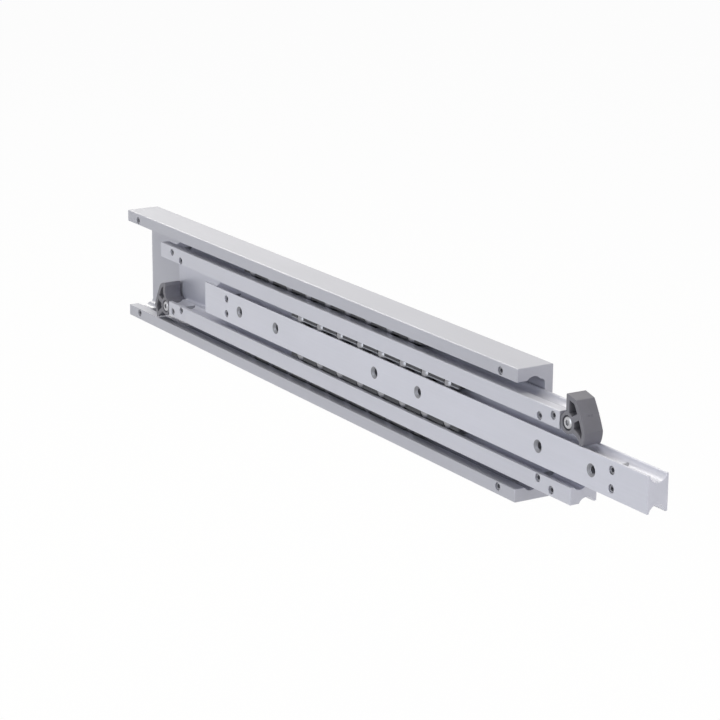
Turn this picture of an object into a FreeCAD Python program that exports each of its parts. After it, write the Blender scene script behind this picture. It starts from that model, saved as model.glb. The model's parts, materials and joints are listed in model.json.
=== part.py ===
"""Two-way telescopic slide: three steel rails on caged balls, with two catch rockers.

Frame: origin at the centre of the outer rail's back (mounting) face, +X along the rails towards
the end that is drawn out, +Y into the mounting surface, +Z up. The open side faces -Y.
The rest pose has the rails drawn out to the right by MIDDLE_OUT and INNER_OUT.
"""
import FreeCAD, Part
import math
import os

V = FreeCAD.Vector
X_AXIS = V(1, 0, 0)
Y_AXIS = V(0, 1, 0)
Z_AXIS = V(0, 0, 1)

# Rails
RAIL_LENGTH = 500.0
OUTER_HEIGHT = 80.0
OUTER_DEPTH = 25.0
FLANGE_THICKNESS = 8.1
BRANCH_THICKNESS = 10.4
RAIL_CLEARANCE = 0.85
OUTER_GAP = 5.95
INNER_GAP = 4.75
WEB_FILLET = 2.8
MIDDLE_FILLET = 1.6
OUTER_EDGE_RADIUS = 0.9
MIDDLE_EDGE_RADIUS = 0.7
INNER_EDGE_RADIUS = 0.35

# Shares of the depth that the webs and the balls take up
OUTER_WEB_SHARE = 0.228
MIDDLE_WEB_SHARE = 0.152
BALL_SHARE = 0.44

# Travel at rest, each counted from the closed slide
MIDDLE_OUT = 53.0
INNER_OUT = 121.0

# Balls, races and cages
BALL_PITCH = 25.0
BALL_MERIDIANS = 12
BALL_BANDS = 6
OUTER_BALLS = 9
INNER_BALLS = 8
RACE_CONFORMITY = 1.04
RACE_CLEARANCE = 0.2
OUTER_RACE_DEPTH = 2.2
INNER_RACE_DEPTH = 4.7
CAGE_CLEARANCE = 0.75
POCKET_CLEARANCE = 0.2
CAGE_REACH = 4.2
CAGE_BACK_WALL = 1.2
CAGE_CORNER = 1.5
CAGE_CHAMFER = 1.0

# Stop screws across the ends of the races
STOP_DIAMETER = 5.0
STOP_FIT = 0.03
STOP_BELOW_RACE = 0.8
STOP_REACH = 5.4
STOP_ROOM = 0.4
STOP_SOCKET = 2.5
STOP_SOCKET_DEPTH = 2.5
OUTER_STOP_INSET = 17.0
MIDDLE_OUTER_STOP_INSET = 18.0
MIDDLE_INNER_STOP_INSET = 31.0
INNER_STOP_INSET = 31.5

# Countersunk fixing holes, in pairs on each side of the rail's middle
FIXING_OFFSETS = (25.0, 150.0, 200.0)
INNER_HOLE = 4.5
INNER_HEAD = 8.0
OUTER_HOLE = 5.5
OUTER_HEAD = 10.4

# Rockers, drawn from the pivot of the right-hand one with its catch raised
ROCKER_INSET = 5.4
ROCKER_SIDE_PLAY = 0.25
ROCKER_BACK_ROOM = 1.6
BOSS_RADIUS = 6.2
BOSS_CLEARANCE = 0.4
CATCH_HEIGHT = 17.2
CATCH_BACK = 1.2
BROW_RADIUS = 16.8
BROW_ANGLE = 62.4
SHOULDER_RADIUS = 16.5
SHOULDER_ANGLE = -6.3
RIM_BOW = 0.5
TIP_RADIUS = 17.4
TIP_LAND = 2.3
TIP_BOW = 0.6
CAM_START_ANGLE = -50.0
CAM_BOW = 1.6
ROCKER_SEAT = 0.3
ROCKER_EDGE = 0.9
ROCKER_WALL = 2.8
ROCKER_FLOOR = 3.0
ROCKER_RIB = 3.5
ROCKER_RIB_ANGLE = 31.0
POCKET_BOSS_WALL = 2.0

# Pivot of a rocker: a bush clamped to the middle rail by a pan-head screw
BUSH_DIAMETER = 5.6
BUSH_BORE = 4.2
BUSH_FIT = 0.08
SCREW_DIAMETER = 4.0
SCREW_HEAD = 8.0
SCREW_HEAD_HEIGHT = 3.1
SCREW_HEAD_RECESS = 0.3
SCREW_HEAD_ROOM = 0.4
SCREW_HEAD_BEVEL = 0.9
SCREW_DRIVE = 3.0
SCREW_DRIVE_DEPTH = 1.5

# Heights above the rail's centre line
LIP_Z = OUTER_HEIGHT / 2 - FLANGE_THICKNESS
MIDDLE_TOP_Z = LIP_Z - OUTER_GAP
BRANCH_LIP_Z = MIDDLE_TOP_Z - BRANCH_THICKNESS
INNER_TOP_Z = BRANCH_LIP_Z - INNER_GAP
BRANCH_MID_Z = (MIDDLE_TOP_Z + BRANCH_LIP_Z) / 2
BALL_RADIUS = OUTER_DEPTH * BALL_SHARE / 2
RACE_RADIUS = BALL_RADIUS * RACE_CONFORMITY
OUTER_FLOOR_Z = LIP_Z + OUTER_RACE_DEPTH
OUTER_BALL_Z = OUTER_FLOOR_Z - RACE_CLEARANCE - BALL_RADIUS
MIDDLE_TOP_FLOOR_Z = OUTER_BALL_Z - BALL_RADIUS - RACE_CLEARANCE
INNER_FLOOR_Z = INNER_TOP_Z - INNER_RACE_DEPTH
INNER_BALL_Z = INNER_FLOOR_Z + RACE_CLEARANCE + BALL_RADIUS
MIDDLE_LOW_FLOOR_Z = INNER_BALL_Z + BALL_RADIUS + RACE_CLEARANCE

# Depths: each cage's back is level with the back of the rail that runs on it
FRONT = -OUTER_DEPTH
OUTER_WEB_Y = FRONT * OUTER_WEB_SHARE
MIDDLE_BACK_Y = OUTER_WEB_Y - RAIL_CLEARANCE
MIDDLE_WEB_Y = MIDDLE_BACK_Y + FRONT * MIDDLE_WEB_SHARE
INNER_BACK_Y = MIDDLE_WEB_Y - RAIL_CLEARANCE
POCKET_RADIUS = BALL_RADIUS + POCKET_CLEARANCE
OUTER_RACE_Y = MIDDLE_BACK_Y - CAGE_BACK_WALL - POCKET_RADIUS
INNER_RACE_Y = INNER_BACK_Y - CAGE_BACK_WALL - POCKET_RADIUS

# Places along the rails at rest
HALF_LENGTH = RAIL_LENGTH / 2
OUTER_CAGE_X = MIDDLE_OUT / 2
INNER_CAGE_X = (MIDDLE_OUT + INNER_OUT) / 2
PIVOT_X = HALF_LENGTH - ROCKER_INSET
BRANCH_END_X = PIVOT_X - BOSS_RADIUS - BOSS_CLEARANCE


def write(name, *solids):
    """Write one node, whose solids stay separate."""
    shape = solids[0] if len(solids) == 1 else Part.makeCompound(list(solids))
    shape.exportStep(os.path.join("parts", name + ".step"))
    print(f"{name:28s} {len(shape.Solids):3d} solids {shape.Volume:10.1f} mm3")


def block(x0, x1, y0, y1, z0, z1):
    """Box between two corners."""
    return Part.makeBox(x1 - x0, y1 - y0, z1 - z0, V(x0, y0, z0))


def rod(radius, length, start, axis):
    """Cylinder from a start point along an axis."""
    return Part.makeCylinder(radius, length, start, axis)


def edges_along_x(shape, corners):
    """Edges that run the whole way along X at the given (y, z) places."""
    found = []
    for edge in shape.Edges:
        box = edge.BoundBox
        if box.XLength < RAIL_LENGTH - 1:
            continue
        for y, z in corners:
            if abs(box.YMin - y) < 0.01 and abs(box.YMax - y) < 0.01 and abs(box.Center.z - z) < 0.01:
                found.append(edge)
    return found


def race_cutters(y, floor_z, side):
    """Round cutters for a race and its mirror; side is +1 where the floor lies above the balls."""
    centre_z = floor_z - side * RACE_RADIUS
    start = V(-HALF_LENGTH, y, centre_z)
    upper = rod(RACE_RADIUS, RAIL_LENGTH, start, X_AXIS)
    return [upper, upper.mirror(V(0, 0, 0), Z_AXIS)]


def stop_places(inset, z):
    """The four places of a set of stop screws: both ends, above and below."""
    x = HALF_LENGTH - inset
    return [(sx * x, sz * z) for sx in (-1, 1) for sz in (-1, 1)]


def stop_length(race_y):
    """A stop screw starts at the open front and ends behind its race."""
    return race_y + STOP_REACH - FRONT


def stop_holes(places, length):
    """Holes that the stop screws sit in."""
    radius = STOP_DIAMETER / 2 + STOP_FIT
    return [rod(radius, length + STOP_ROOM, V(x, FRONT, z), Y_AXIS) for x, z in places]


def hexagon(across_flats, height, start, axis):
    """Hexagonal prism from a start point along +Y or -Y."""
    radius = across_flats / math.sqrt(3)
    turns = [k * math.pi / 3 for k in range(7)]
    corners = [V(radius * math.cos(turn), 0, radius * math.sin(turn)) for turn in turns]
    outline = Part.makePolygon([start + corner for corner in corners])
    return Part.Face(outline).extrude(axis * height)


def stop_screw(x, z, length):
    """Grub screw with a hexagon socket, flush with the open front."""
    body = rod(STOP_DIAMETER / 2, length, V(x, FRONT, z), Y_AXIS)
    return body.cut(hexagon(STOP_SOCKET, STOP_SOCKET_DEPTH, V(x, FRONT, z), Y_AXIS))


def stop_screws(places, length, shift):
    """A set of stop screws on a rail that stands out by shift."""
    return [stop_screw(x + shift, z, length) for x, z in places]


def fixing_holes(hole, head, y0, y1):
    """Through holes on the centre line, countersunk at 90 degrees from the face at y0."""
    depth = (head - hole) / 2
    cutters = []
    for offset in FIXING_OFFSETS:
        for x in (-offset, offset):
            cutters.append(rod(hole / 2, y1 - y0, V(x, y0, 0), Y_AXIS))
            cutters.append(Part.makeCone(head / 2, hole / 2, depth, V(x, y0, 0), Y_AXIS))
    return cutters


OUTER_STOPS = stop_places(OUTER_STOP_INSET, OUTER_FLOOR_Z + STOP_BELOW_RACE)
MIDDLE_OUTER_STOPS = stop_places(MIDDLE_OUTER_STOP_INSET, MIDDLE_TOP_FLOOR_Z - STOP_BELOW_RACE)
MIDDLE_INNER_STOPS = stop_places(MIDDLE_INNER_STOP_INSET, MIDDLE_LOW_FLOOR_Z + STOP_BELOW_RACE)
INNER_STOPS = stop_places(INNER_STOP_INSET, INNER_FLOOR_Z - STOP_BELOW_RACE)


def outer_rail():
    """C-shaped steel section with a race in each flange and fixing holes in its web."""
    body = block(-HALF_LENGTH, HALF_LENGTH, FRONT, 0, -OUTER_HEIGHT / 2, OUTER_HEIGHT / 2)
    corners = [(y, s * OUTER_HEIGHT / 2) for y in (FRONT, 0) for s in (-1, 1)]
    body = body.makeFillet(OUTER_EDGE_RADIUS, edges_along_x(body, corners))
    channel = block(-HALF_LENGTH, HALF_LENGTH, FRONT, OUTER_WEB_Y, -LIP_Z, LIP_Z)
    corners = [(OUTER_WEB_Y, -LIP_Z), (OUTER_WEB_Y, LIP_Z)]
    channel = channel.makeFillet(WEB_FILLET, edges_along_x(channel, corners))
    cutters = race_cutters(OUTER_RACE_Y, OUTER_FLOOR_Z, 1)
    cutters += stop_holes(OUTER_STOPS, stop_length(OUTER_RACE_Y))
    cutters += fixing_holes(OUTER_HOLE, OUTER_HEAD, OUTER_WEB_Y, 0)
    return body.cut([channel] + cutters)


def middle_rail():
    """C-shaped section with races on both sides of its branches, cut back for the rockers."""
    body = block(-HALF_LENGTH, HALF_LENGTH, FRONT, MIDDLE_BACK_Y, -MIDDLE_TOP_Z, MIDDLE_TOP_Z)
    corners = [(y, s * MIDDLE_TOP_Z) for y in (FRONT, MIDDLE_BACK_Y) for s in (-1, 1)]
    body = body.makeFillet(MIDDLE_EDGE_RADIUS, edges_along_x(body, corners))
    channel = block(-HALF_LENGTH, HALF_LENGTH, FRONT, MIDDLE_WEB_Y, -BRANCH_LIP_Z, BRANCH_LIP_Z)
    corners = [(MIDDLE_WEB_Y, -BRANCH_LIP_Z), (MIDDLE_WEB_Y, BRANCH_LIP_Z)]
    channel = channel.makeFillet(MIDDLE_FILLET, edges_along_x(channel, corners))
    cutters = race_cutters(OUTER_RACE_Y, MIDDLE_TOP_FLOOR_Z, -1)
    cutters += race_cutters(INNER_RACE_Y, MIDDLE_LOW_FLOOR_Z, 1)
    cutters += stop_holes(MIDDLE_OUTER_STOPS, stop_length(OUTER_RACE_Y))
    cutters += stop_holes(MIDDLE_INNER_STOPS, stop_length(INNER_RACE_Y))
    notch = block(BRANCH_END_X, HALF_LENGTH, FRONT, MIDDLE_WEB_Y, 0, MIDDLE_TOP_Z)
    web = MIDDLE_BACK_Y - MIDDLE_WEB_Y
    tapped = rod(SCREW_DIAMETER / 2, web, V(PIVOT_X, MIDDLE_WEB_Y, BRANCH_MID_Z), Y_AXIS)
    for right_hand in (notch, tapped):
        cutters.append(right_hand)
        cutters.append(right_hand.rotated(V(0, 0, 0), Y_AXIS, 180))
    rail = body.cut([channel] + cutters)
    return rail.translated(V(MIDDLE_OUT, 0, 0))


def inner_rail():
    """Solid bar with a race along its top and bottom and countersunk fixing holes."""
    body = block(-HALF_LENGTH, HALF_LENGTH, FRONT, INNER_BACK_Y, -INNER_TOP_Z, INNER_TOP_Z)
    corners = [(y, s * INNER_TOP_Z) for y in (FRONT, INNER_BACK_Y) for s in (-1, 1)]
    body = body.makeFillet(INNER_EDGE_RADIUS, edges_along_x(body, corners))
    cutters = race_cutters(INNER_RACE_Y, INNER_FLOOR_Z, -1)
    cutters += stop_holes(INNER_STOPS, stop_length(INNER_RACE_Y))
    cutters += fixing_holes(INNER_HOLE, INNER_HEAD, FRONT, INNER_BACK_Y)
    return body.cut(cutters).translated(V(INNER_OUT, 0, 0))


def ball_places(count, centre_x):
    """X of each ball of a cage."""
    return [centre_x + (k - (count - 1) / 2) * BALL_PITCH for k in range(count)]


def ring_point(meridian, band):
    """Point on the ball's surface; the poles, band 0 and BALL_BANDS, touch the races."""
    height = math.pi * band / BALL_BANDS
    turn = 2 * math.pi * meridian / BALL_MERIDIANS
    radius = BALL_RADIUS * math.sin(height)
    return V(radius * math.cos(turn), radius * math.sin(turn), BALL_RADIUS * math.cos(height))


def ball():
    """Ball in flat facets, few enough for whole rows of them, with its poles on the races."""
    faces = []
    for meridian in range(BALL_MERIDIANS):
        for band in range(BALL_BANDS):
            corners = [ring_point(meridian, band), ring_point(meridian, band + 1)]
            if band < BALL_BANDS - 1:
                corners.append(ring_point(meridian + 1, band + 1))
            if band > 0:
                corners.append(ring_point(meridian + 1, band))
            faces.append(Part.Face(Part.makePolygon(corners + corners[:1])))
    return Part.makeSolid(Part.makeShell(faces))


def balls(count, centre_x, y, z):
    """The balls of one cage."""
    one = ball()
    return [one.translated(V(x, y, z)) for x in ball_places(count, centre_x)]


def cage(count, centre_x, race_y, z0, z1):
    """Strip between two rails, chamfered at the back, with a pocket for each ball open at its front."""
    half = count * BALL_PITCH / 2
    front_y = race_y - CAGE_REACH
    back_y = race_y + POCKET_RADIUS + CAGE_BACK_WALL
    strip = block(centre_x - half, centre_x + half, front_y, back_y, z0, z1)
    ends = [edge for edge in strip.Edges if edge.BoundBox.ZLength > z1 - z0 - 0.01]
    strip = strip.makeFillet(CAGE_CORNER, ends)
    section = [(front_y, z0), (back_y - CAGE_CHAMFER, z0), (back_y, z0 + CAGE_CHAMFER),
               (back_y, z1 - CAGE_CHAMFER), (back_y - CAGE_CHAMFER, z1), (front_y, z1)]
    loop = [V(centre_x - half, y, z) for y, z in section + section[:1]]
    chamfered = Part.Face(Part.makePolygon(loop)).extrude(X_AXIS * 2 * half)
    pockets = [rod(POCKET_RADIUS, z1 - z0, V(x, race_y, z0), Z_AXIS) for x in ball_places(count, centre_x)]
    return strip.common(chamfered).cut(pockets)


def below(shape):
    """The same piece on the lower side of the slide."""
    return shape.mirror(V(0, 0, 0), Z_AXIS)


def bowed(start, end, bow):
    """Arc whose middle stands off its chord, to the left of the way from start to end."""
    chord = end - start
    side = V(-chord.z, 0, chord.x).normalize()
    return Part.Arc(start, (start + end) * 0.5 + side * bow, end).toShape()


def polar(radius, degrees):
    """Point at a radius and angle from the rocker's pivot."""
    turn = math.radians(degrees)
    return V(radius * math.cos(turn), 0, radius * math.sin(turn))


def rocker_outline():
    """Outline round the pivot: catch above, tip that rides on the inner rail below."""
    tip_z = INNER_TOP_Z - BRANCH_MID_Z + ROCKER_SEAT
    tip_x = math.sqrt(TIP_RADIUS ** 2 - tip_z ** 2)
    catch = V(-CATCH_BACK, 0, CATCH_HEIGHT)
    brow = polar(BROW_RADIUS, BROW_ANGLE)
    shoulder = polar(SHOULDER_RADIUS, SHOULDER_ANGLE)
    tip_front = V(tip_x, 0, tip_z)
    tip_back = V(tip_x - TIP_LAND, 0, tip_z)
    cam_start = polar(BOSS_RADIUS, CAM_START_ANGLE)
    boss_top = V(-CATCH_BACK, 0, math.sqrt(BOSS_RADIUS ** 2 - CATCH_BACK ** 2))
    return Part.Wire([
        Part.LineSegment(catch, brow).toShape(),
        bowed(brow, shoulder, RIM_BOW),
        bowed(shoulder, tip_front, TIP_BOW),
        Part.LineSegment(tip_front, tip_back).toShape(),
        bowed(tip_back, cam_start, -CAM_BOW),
        Part.Arc(cam_start, polar(BOSS_RADIUS, 180), boss_top).toShape(),
        Part.LineSegment(boss_top, catch).toShape(),
    ])


def rocker():
    """Moulded rocker at its pivot, catch raised, with pockets in its front and a hub at its back."""
    front_y = FRONT + ROCKER_SIDE_PLAY
    hub_depth = MIDDLE_WEB_Y - ROCKER_SIDE_PLAY - front_y
    depth = hub_depth - ROCKER_BACK_ROOM
    outline = rocker_outline()
    body = Part.Face(outline).extrude(Y_AXIS * depth)
    upright = [edge for edge in body.Edges if edge.BoundBox.YLength > depth - 0.01]
    centres = [edge.BoundBox.Center for edge in upright]
    reach = [math.hypot(centre.x, centre.z) for centre in centres]
    corners = [edge for edge, r in zip(upright, reach) if r > BOSS_RADIUS + ROCKER_EDGE]
    body = body.makeFillet(ROCKER_EDGE, corners)
    pocket_depth = depth - ROCKER_FLOOR
    pocket = Part.Face(outline).makeOffset2D(-ROCKER_WALL).extrude(Y_AXIS * pocket_depth)
    rib = block(0, CATCH_HEIGHT, 0, pocket_depth, -ROCKER_RIB / 2, ROCKER_RIB / 2)
    rib = rib.rotated(V(0, 0, 0), Y_AXIS, -ROCKER_RIB_ANGLE)
    room_radius = SCREW_HEAD / 2 + SCREW_HEAD_ROOM
    pocket = pocket.cut([rod(room_radius + POCKET_BOSS_WALL, pocket_depth, V(0, 0, 0), Y_AXIS), rib])
    body = body.fuse(rod(BOSS_RADIUS, hub_depth, V(0, 0, 0), Y_AXIS))
    bore = rod(BUSH_DIAMETER / 2 + BUSH_FIT, hub_depth, V(0, 0, 0), Y_AXIS)
    sink = SCREW_HEAD_RECESS + SCREW_HEAD_HEIGHT + SCREW_HEAD_ROOM - ROCKER_SIDE_PLAY
    head_room = rod(room_radius, sink, V(0, 0, 0), Y_AXIS)
    return body.cut([pocket, bore, head_room]).removeSplitter().translated(V(0, front_y, 0))


def rocker_bush():
    """Sleeve that the rocker turns on, from the middle rail's web to the screw head."""
    seat_y = FRONT + SCREW_HEAD_RECESS + SCREW_HEAD_HEIGHT
    length = MIDDLE_WEB_Y - seat_y
    sleeve = rod(BUSH_DIAMETER / 2, length, V(0, seat_y, 0), Y_AXIS)
    return sleeve.cut(rod(BUSH_BORE / 2, length, V(0, seat_y, 0), Y_AXIS))


def rocker_screw():
    """Pan-head screw that clamps the bush, with a six-lobe drive."""
    top_y = FRONT + SCREW_HEAD_RECESS
    seat_y = top_y + SCREW_HEAD_HEIGHT
    head = rod(SCREW_HEAD / 2, SCREW_HEAD_HEIGHT, V(0, top_y, 0), Y_AXIS)
    rim = [edge for edge in head.Edges if abs(edge.BoundBox.YMax - top_y) < 0.01]
    head = head.makeChamfer(SCREW_HEAD_BEVEL, rim)
    lobes = [hexagon(SCREW_DRIVE, SCREW_DRIVE_DEPTH, V(0, top_y, 0), Y_AXIS)]
    lobes.append(lobes[0].rotated(V(0, 0, 0), Y_AXIS, 30))
    shank = rod(SCREW_DIAMETER / 2, MIDDLE_BACK_Y - seat_y, V(0, seat_y, 0), Y_AXIS)
    return head.cut(lobes).fuse(shank)


def swing_in():
    """Angle that turns a rocker until its catch clears the outer rail's lip."""
    reach = math.hypot(CATCH_BACK, CATCH_HEIGHT)
    raised = math.degrees(math.atan2(CATCH_HEIGHT, -CATCH_BACK))
    room = LIP_Z - BRANCH_MID_Z - ROCKER_SEAT
    return raised - math.degrees(math.asin(room / reach))


def at_right(shape):
    """Put a rocker piece at the right-hand pivot."""
    return shape.translated(V(PIVOT_X + MIDDLE_OUT, 0, BRANCH_MID_Z))


def at_left(shape):
    """Put a rocker piece at the left-hand pivot, turned half round."""
    turned = shape.rotated(V(0, 0, 0), Y_AXIS, 180)
    return turned.translated(V(MIDDLE_OUT - PIVOT_X, 0, -BRANCH_MID_Z))


def main():
    """Build every piece and write it."""
    os.makedirs("parts", exist_ok=True)
    outer_stop = stop_length(OUTER_RACE_Y)
    inner_stop = stop_length(INNER_RACE_Y)
    write("outer_rail", outer_rail())
    write("outer_stop_screws", *stop_screws(OUTER_STOPS, outer_stop, 0))
    write("middle_rail", middle_rail())
    write("middle_outer_stop_screws", *stop_screws(MIDDLE_OUTER_STOPS, outer_stop, MIDDLE_OUT))
    write("middle_inner_stop_screws", *stop_screws(MIDDLE_INNER_STOPS, inner_stop, MIDDLE_OUT))
    write("inner_rail", inner_rail())
    write("inner_stop_screws", *stop_screws(INNER_STOPS, inner_stop, INNER_OUT))

    outer_cage = cage(OUTER_BALLS, OUTER_CAGE_X, OUTER_RACE_Y,
                      MIDDLE_TOP_Z + CAGE_CLEARANCE, LIP_Z - CAGE_CLEARANCE)
    inner_cage = cage(INNER_BALLS, INNER_CAGE_X, INNER_RACE_Y,
                      INNER_TOP_Z + CAGE_CLEARANCE, BRANCH_LIP_Z - CAGE_CLEARANCE)
    outer_balls = balls(OUTER_BALLS, OUTER_CAGE_X, OUTER_RACE_Y, OUTER_BALL_Z)
    inner_balls = balls(INNER_BALLS, INNER_CAGE_X, INNER_RACE_Y, INNER_BALL_Z)
    write("outer_cage_top", outer_cage)
    write("outer_cage_bottom", below(outer_cage))
    write("outer_balls_top", *outer_balls)
    write("outer_balls_bottom", *[below(ball) for ball in outer_balls])
    write("inner_cage_top", inner_cage)
    write("inner_cage_bottom", below(inner_cage))
    write("inner_balls_top", *inner_balls)
    write("inner_balls_bottom", *[below(ball) for ball in inner_balls])

    raised = rocker()
    lowered = raised.rotated(V(0, 0, 0), Y_AXIS, swing_in())
    write("rocker_right", at_right(raised))
    write("rocker_left", at_left(lowered))
    write("rocker_bush_right", at_right(rocker_bush()))
    write("rocker_bush_left", at_left(rocker_bush()))
    write("rocker_screw_right", at_right(rocker_screw()))
    write("rocker_screw_left", at_left(rocker_screw()))


main()
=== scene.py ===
"""Dress of the two-way telescopic slide: finishes, fine pieces, studio and camera.

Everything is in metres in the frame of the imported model: the origin is the middle of the outer
rail's back, +X runs along the rails, the open side faces -Y and +Z is up. Pieces are modelled at
the origin or taken from the frame, and their place goes into the mesh. Angles are in degrees.
"""

import json
import logging
import math
from collections.abc import Callable, Iterator
from dataclasses import dataclass, field, replace
from enum import Enum

import bmesh
import bpy
from mathutils import Matrix, Vector

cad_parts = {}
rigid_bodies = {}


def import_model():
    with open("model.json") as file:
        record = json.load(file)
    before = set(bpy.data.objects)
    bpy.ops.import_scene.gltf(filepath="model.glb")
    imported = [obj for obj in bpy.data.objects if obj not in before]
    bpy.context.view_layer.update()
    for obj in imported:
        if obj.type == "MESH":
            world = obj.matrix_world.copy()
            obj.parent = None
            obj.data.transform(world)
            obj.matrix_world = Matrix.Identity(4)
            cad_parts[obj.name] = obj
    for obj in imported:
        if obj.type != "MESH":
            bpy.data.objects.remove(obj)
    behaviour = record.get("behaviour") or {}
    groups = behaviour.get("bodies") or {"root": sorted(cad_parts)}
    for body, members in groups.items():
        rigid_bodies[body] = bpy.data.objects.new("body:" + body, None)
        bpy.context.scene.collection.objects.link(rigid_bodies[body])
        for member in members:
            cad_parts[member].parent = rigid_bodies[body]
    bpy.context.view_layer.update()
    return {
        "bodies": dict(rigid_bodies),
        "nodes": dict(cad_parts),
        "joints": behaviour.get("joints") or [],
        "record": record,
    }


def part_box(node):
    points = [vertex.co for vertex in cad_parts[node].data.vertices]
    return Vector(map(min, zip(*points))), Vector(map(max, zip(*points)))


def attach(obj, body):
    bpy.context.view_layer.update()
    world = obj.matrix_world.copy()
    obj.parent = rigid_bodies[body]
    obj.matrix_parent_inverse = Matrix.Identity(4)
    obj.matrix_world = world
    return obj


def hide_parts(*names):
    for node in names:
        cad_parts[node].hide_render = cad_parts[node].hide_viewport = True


LOG = logging.getLogger("slide")

MM = 0.001
# Distance below which two places are the same
TINY = 1e-6
# Largest distance between points that are merged
MERGE_REACH = 0.002 * MM
# Largest angle between faces that are joined to one flat
FLAT_ANGLE = 0.5
# Largest angle that is shaded smooth
SMOOTH_ANGLE = 32.0
# How strongly large flats level the normals round them, up to 100
LEVEL_WEIGHT = 100
# Least part of a unit normal along an axis for a face that looks that way
FACING = 0.9
HALF_TURN = 180.0
HEXAGON = 6
# Numbers of the colour sockets and of the colour output of a Mix node
MIX_FIRST = 6
MIX_SECOND = 7
MIX_COLOUR = 2
# Width of the border of a mask
MASK_FADE = 0.1 * MM
# Value round which a noise varies
NOISE_MIDDLE = 0.5

Colour = tuple[float, float, float]
Point = tuple[float, float, float]

WHITE: Colour = (1.0, 1.0, 1.0)
WARM_WHITE: Colour = (1.0, 0.98, 0.86)
COOL_WHITE: Colour = (0.87, 0.935, 1.0)
EVEN: Point = (1.0, 1.0, 1.0)


class Side(Enum):
    """A side of the slide, as the sign of its axis."""

    @property
    def word(self) -> str:
        """The side as the names of nodes, bodies and pieces have it."""
        return self.name.lower()


class End(Side):
    """The two ends of the slide, as the sign of X."""

    LEFT = -1
    RIGHT = 1


class Level(Side):
    """The upper and the lower side of the slide, as the sign of Z."""

    TOP = 1
    BOTTOM = -1


class Rail(Enum):
    """The three rails, by the name of the body that each belongs to."""

    OUTER = "outer"
    MIDDLE = "middle"
    INNER = "inner"


class Element(Enum):
    """What is selected in edit mode, by Blender's name."""

    POINT = "VERT"
    EDGE = "EDGE"
    FACE = "FACE"


def ball_rows() -> Iterator[tuple[Rail, Level, str]]:
    """Go through the four rows of balls.

    Returns:
        The rail that each row is named after, its level and its body.
    """
    for rail in (Rail.OUTER, Rail.INNER):
        for level in Level:
            yield rail, level, f"{rail.value}_{level.word}_row"


# Shader maths


class Signal:
    """A shader value whose arithmetic adds Math nodes to its material."""

    def __init__(self, recipe: "Recipe", socket: bpy.types.NodeSocket | None) -> None:
        """Wrap one output socket.

        Args:
            recipe: The material that the socket belongs to.
            socket: The output socket, or None for a node without one.
        """
        self.recipe = recipe
        self.socket = socket

    def _math(self, operation: str, first: "Value", second: "Value" = 0.0) -> "Signal":
        """Add one Math node.

        Args:
            operation: Name of the node's operation.
            first: Value or signal for its first socket.
            second: Value or signal for its second socket.

        Returns:
            The node's output.
        """
        return self.recipe.node("ShaderNodeMath", {"operation": operation}, {0: first, 1: second})

    def __add__(self, other: "Value") -> "Signal":
        """Sum."""
        return self._math("ADD", self, other)

    __radd__ = __add__

    def __sub__(self, other: "Value") -> "Signal":
        """Difference."""
        return self._math("SUBTRACT", self, other)

    def __rsub__(self, other: "Value") -> "Signal":
        """Difference from a plain number."""
        return self._math("SUBTRACT", other, self)

    def __mul__(self, other: "Value") -> "Signal":
        """Product."""
        return self._math("MULTIPLY", self, other)

    __rmul__ = __mul__

    def __truediv__(self, other: "Value") -> "Signal":
        """Quotient."""
        return self._math("DIVIDE", self, other)

    def __abs__(self) -> "Signal":
        """Size without sign."""
        return self._math("ABSOLUTE", self)

    def at_most(self, other: "Value") -> "Signal":
        """Smaller of two values."""
        return self._math("MINIMUM", self, other)

    def at_least(self, other: "Value") -> "Signal":
        """Larger of two values."""
        return self._math("MAXIMUM", self, other)

    def unit(self) -> "Signal":
        """The value kept between 0 and 1."""
        return self.at_least(0.0).at_most(1.0)


Value = Signal | float | Colour


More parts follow.
